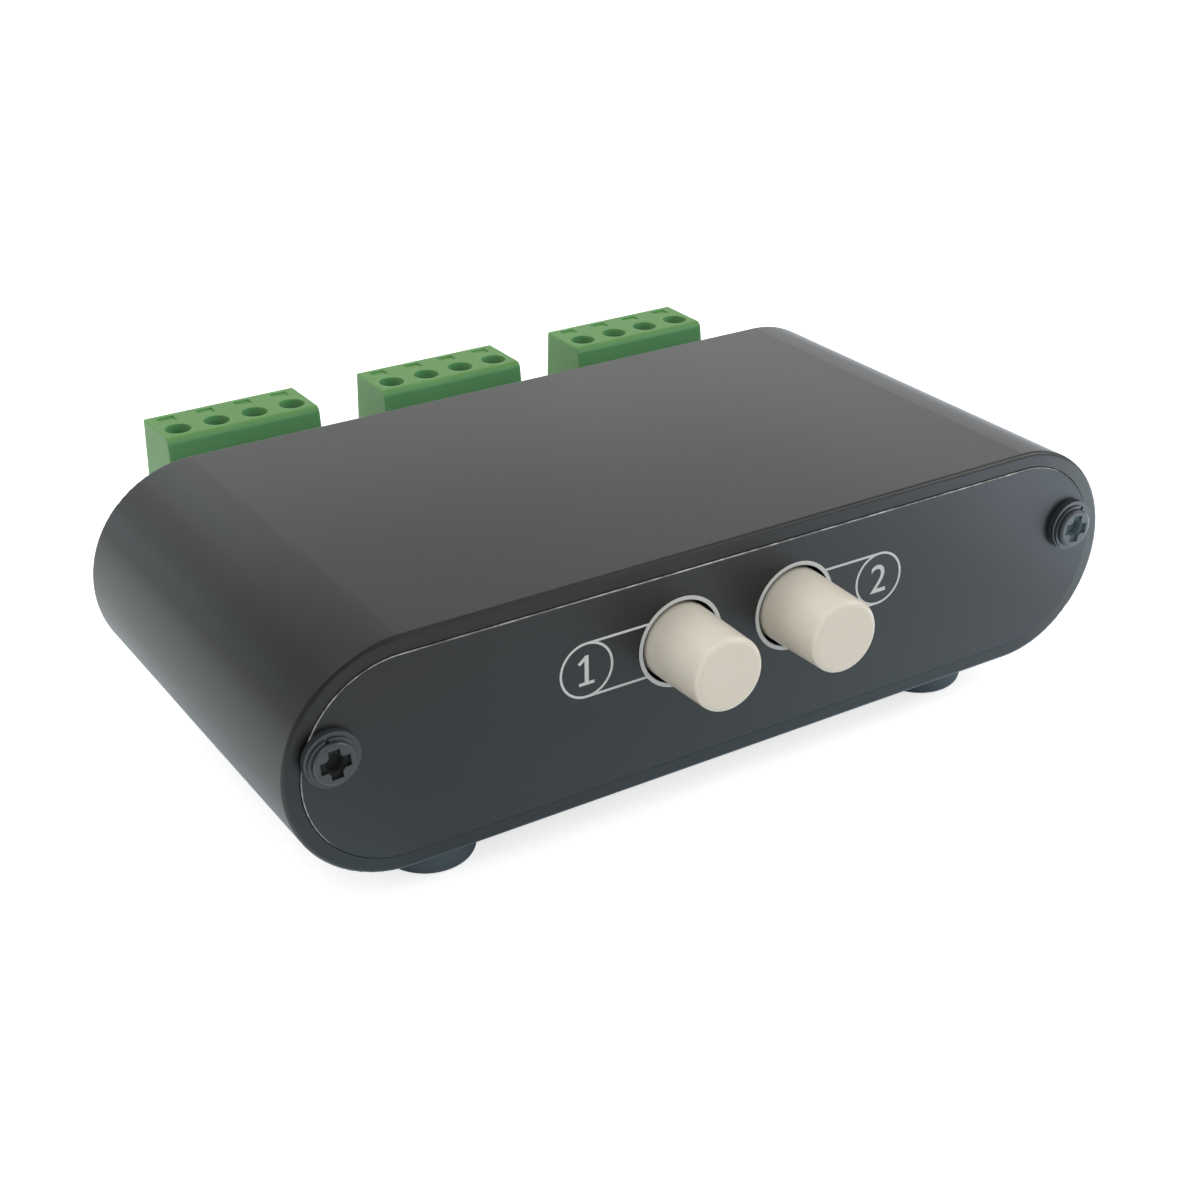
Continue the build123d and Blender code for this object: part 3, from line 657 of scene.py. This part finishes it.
def flat_ring(builder, centre, radius, line, steps):
    """A flat ring in the upright plane through centre, facing the front."""
    place = Matrix.Translation(centre) @ facing_front
    edges = []
    for size in (radius, radius - line):
        loop = bmesh.ops.create_circle(builder, segments=steps, radius=size, matrix=place)
        edges += dict.fromkeys(edge for corner in loop["verts"] for edge in corner.link_edges)
    return bmesh.ops.bridge_loops(builder, edges=edges)["faces"]


def flat_bar(builder, centre, length, line, turn=0.0):
    """A flat bar, level unless it is turned, in degrees."""
    turned = facing_front @ Matrix.Rotation(math.radians(turn), 4, "Z")
    place = Matrix.Translation(centre) @ turned @ Matrix.Diagonal((length, line, 1, 1))
    bar = bmesh.ops.create_grid(builder, x_segments=1, y_segments=1, size=0.5, matrix=place)
    return bar["verts"][0].link_faces[:]


def raise_ink(builder, flat, thickness):
    """Gives flat print its thickness, from the panel's face forwards."""
    raised = bmesh.ops.extrude_face_region(builder, geom=flat, use_keep_orig=True)
    corners = [part for part in raised["geom"] if isinstance(part, bmesh.types.BMVert)]
    bmesh.ops.translate(builder, verts=corners, vec=(0, -thickness, 0))


def print_rings():
    """A ring round each button."""
    builder = bmesh.new()
    for place in button_middles:
        centre = Vector((place.x, panel_low.y, place.z))
        ring = flat_ring(builder, centre, ring_radius, ring_line, ring_steps)
        raise_ink(builder, ring, ink_thickness)
    finish_piece("front_print_rings", builder, ink, "case")


def print_labels():
    """A small circle outside each button, joined to its ring by two level lines."""
    builder = bmesh.new()
    for place, side, label in zip(button_middles, label_sides, label_middles):
        circle = flat_ring(builder, label, label_radius, label_line, label_steps)
        raise_ink(builder, circle, ink_thickness)
        for up in (-1, 1):
            height = label.z + up * (label_radius - label_line / 2)
            ring_end = math.sqrt((ring_radius - ring_line / 2) ** 2 - (height - place.z) ** 2)
            length = abs(label.x - place.x) - ring_end
            centre = Vector((label.x - side * length / 2, panel_low.y, height))
            raise_ink(builder, flat_bar(builder, centre, length, label_line), crossing_thickness)
    finish_piece("front_print_labels", builder, ink, "case")


def print_one(builder, label):
    """A one with its flag and its foot."""
    foot_place = Vector((0, 0, (one_foot[1] - numeral_height) / 2))
    raise_ink(builder, flat_bar(builder, label, numeral_height, one_stem, 90), ink_thickness)
    raise_ink(builder, flat_bar(builder, label + foot_place, *one_foot), crossing_thickness)
    flag = flat_bar(builder, label + one_flag_place, *one_flag, turn=one_flag_turn)
    raise_ink(builder, flag, flag_thickness)


def print_two(builder, label):
    """A two in the plain built-in letter, brought to its height and its place."""
    letter = bpy.data.curves.new("numeral", "FONT")
    letter.body = "2"
    holder = bpy.data.objects.new("numeral", letter)
    shape = bpy.data.meshes.new_from_object(holder)
    known = set(builder.faces)
    builder.from_mesh(shape)
    flat = [face for face in builder.faces if face not in known]
    corners = list(dict.fromkeys(corner for face in flat for corner in face.verts))
    low = Vector([min(corner.co[axis] for corner in corners) for axis in range(3)])
    high = Vector([max(corner.co[axis] for corner in corners) for axis in range(3)])
    bmesh.ops.translate(builder, verts=corners, vec=-(low + high) / 2)
    bmesh.ops.scale(builder, verts=corners, vec=[numeral_height / (high.y - low.y)] * 3)
    bmesh.ops.transform(builder, matrix=Matrix.Translation(label) @ facing_front, verts=corners)
    raise_ink(builder, flat, ink_thickness)
    bpy.data.objects.remove(holder)
    bpy.data.curves.remove(letter)
    bpy.data.meshes.remove(shape)


def print_numerals():
    """A plain number in each small circle."""
    builder = bmesh.new()
    first_label, second_label = label_middles
    print_one(builder, first_label)
    print_two(builder, second_label)
    finish_piece("front_print_numerals", builder, ink, "case")


print_rings()
print_labels()
print_numerals()


# ---------------------------------------------------------------- floor
floor_radius = 4.0
floor_white = ((0.8, 0.8, 0.8), (0.82, 0.82, 0.82))
floor_seen = 0.7

# The glow that glossy sides mirror: its spans across the floor and in depth, where it rises or
# falls, and its strengths there.
glow_across = (-0.045, 0.1)
glow_strength = (-0.08, 0.42)
near_rise = (-0.085, -0.035)
near_fall = (-0.032, -0.026)
near_strength = (0.6, 1.1)
far_right_rise = (0.068, 0.086)
far_right_fall = (0.11, 0.16)
far_right_strength = 1.8
far_left_fall = (-0.044, -0.034)
far_left_strength = 0.38

# The glow's colours, from left to right, and beyond the left end.
white_light = (1.0, 1.0, 1.0)
cool_glow = ((0.5, 0.85, 1.0), (0.7, 0.85, 1.0))
far_left_glow = (0.58, 0.74, 0.78)
far_left_fade = (-0.06, -0.045)


def floor_glow(tree, across, depth, rightwards):
    """How strongly each place of the floor glows in the object's glossy sides."""
    near = spread(tree, depth, 0.0, 1.0, *near_rise)
    near_end = spread(tree, depth, 1.0, 0.0, *near_fall)
    near = product(tree, near, near, near_end, spread(tree, rightwards, *near_strength))
    far_right = product(
        tree,
        spread(tree, across, 0.0, far_right_strength, *far_right_rise),
        spread(tree, across, 1.0, 0.0, *far_right_fall),
    )
    far_left = spread(tree, across, far_left_strength, 0.0, *far_left_fall)
    wide = spread(tree, rightwards, *glow_strength)
    return math_node(tree, "MAXIMUM", total(tree, wide, near, far_right, far_left), 0.0)


def white_floor():
    """A pale floor that reads as white to the camera and in reflections, and keeps shadows."""
    made, tree, shader = new_material("floor_white", Roughness=0.9)
    cloud = noise(tree, object_place(tree), 3.0)
    rays = add_node(tree, "ShaderNodeLightPath").outputs
    mirrored, seen = rays["Is Glossy Ray"], rays["Is Camera Ray"]
    across, depth, _ = parts_of(tree, object_place(tree))
    rightwards = spread(tree, across, 0.0, 1.0, *glow_across)
    glow = product(tree, mirrored, floor_glow(tree, across, depth, rightwards))
    far_left = spread(tree, across, 1.0, 0.0, *far_left_fade)
    cool = mix_colour(tree, rightwards, *cool_glow)
    cool = mix_colour(tree, far_left, cool, far_left_glow)
    connect(
        tree,
        shader,
        Base_Color=mix_colour(tree, cloud, *floor_white),
        Emission_Color=mix_colour(tree, mirrored, white_light, cool),
        Emission_Strength=total(tree, product(tree, seen, floor_seen), glow),
    )
    return made


def make_floor():
    builder = bmesh.new()
    bmesh.ops.create_circle(builder, cap_ends=True, segments=96, radius=floor_radius)
    mesh = bpy.data.meshes.new("floor")
    builder.to_mesh(mesh)
    builder.free()
    floor = bpy.data.objects.new("floor", mesh)
    bpy.context.scene.collection.objects.link(floor)
    mesh.materials.append(white_floor())


# ---------------------------------------------------------------- world, lamps and camera
world_white = (0.975, 0.99, 1.0, 1.0)
world_light = 0.75
world_seen = 1.0

# Each lamp's name, place, width and height, power in watts and colour. All aim at the case.
softboxes = (
    ("high_softbox", (-0.35, 0.25, 0.75), (0.7, 0.7), 2.2, white_light),
    ("back_softbox", (1.02, 0.76, 0.42), (1.0, 0.3), 0.58, white_light),
    ("rear_softbox", (-0.02, 1.0, 0.53), (0.4, 0.3), 0.16, (0.85, 1.0, 1.0)),
    ("low_softbox", (0.41, 1.19, 0.355), (0.6, 0.2), 0.3, (0.96, 1.0, 0.86)),
    ("cool_softbox", (-0.481, 1.19, 0.221), (0.5, 0.15), 0.14, (0.4, 0.9, 1.0)),
    ("right_softbox", (0.6, -0.35, 0.45), (0.5, 0.5), 1.7, white_light),
)

# The camera's place: left of the middle, in front of the case's front and above its middle.
camera_left = 0.113978
camera_before = 0.151751
camera_above = 0.103013
camera_turn = (62.858, 0.343, -32.491)
camera_lens = 58.713


def make_world():
    """An even, nearly white surround, a little dimmer as light than it looks."""
    world = bpy.data.worlds.new("studio")
    bpy.context.scene.world = world
    world.use_nodes = True
    tree = world.node_tree
    background = tree.nodes["Background"]
    background.inputs["Color"].default_value = world_white
    seen = add_node(tree, "ShaderNodeLightPath").outputs["Is Camera Ray"]
    strength = spread(tree, seen, world_light, world_seen)
    tree.links.new(strength, background.inputs["Strength"])


def make_lamp(name, place, size, power, colour):
    data = bpy.data.lights.new(name, "AREA")
    data.shape = "RECTANGLE"
    data.size, data.size_y = size
    data.energy = power
    data.color = colour
    lamp = bpy.data.objects.new(name, data)
    bpy.context.scene.collection.objects.link(lamp)
    lamp.location = place
    aim = case_middle - Vector(place)
    lamp.rotation_euler = aim.to_track_quat("-Z", "Y").to_euler()


def make_camera():
    data = bpy.data.cameras.new("camera")
    data.sensor_width = 36.0
    data.lens = camera_lens
    data.clip_start = 0.01
    data.clip_end = 50.0
    camera = bpy.data.objects.new("camera", data)
    bpy.context.scene.collection.objects.link(camera)
    camera.location = (-camera_left, case_low.y - camera_before, case_middle.z + camera_above)
    camera.rotation_euler = Euler(math.radians(turn) for turn in camera_turn)
    bpy.context.scene.camera = camera


make_floor()
make_world()
for softbox in softboxes:
    make_lamp(*softbox)
make_camera()
bpy.context.scene.view_settings.view_transform = "Standard"
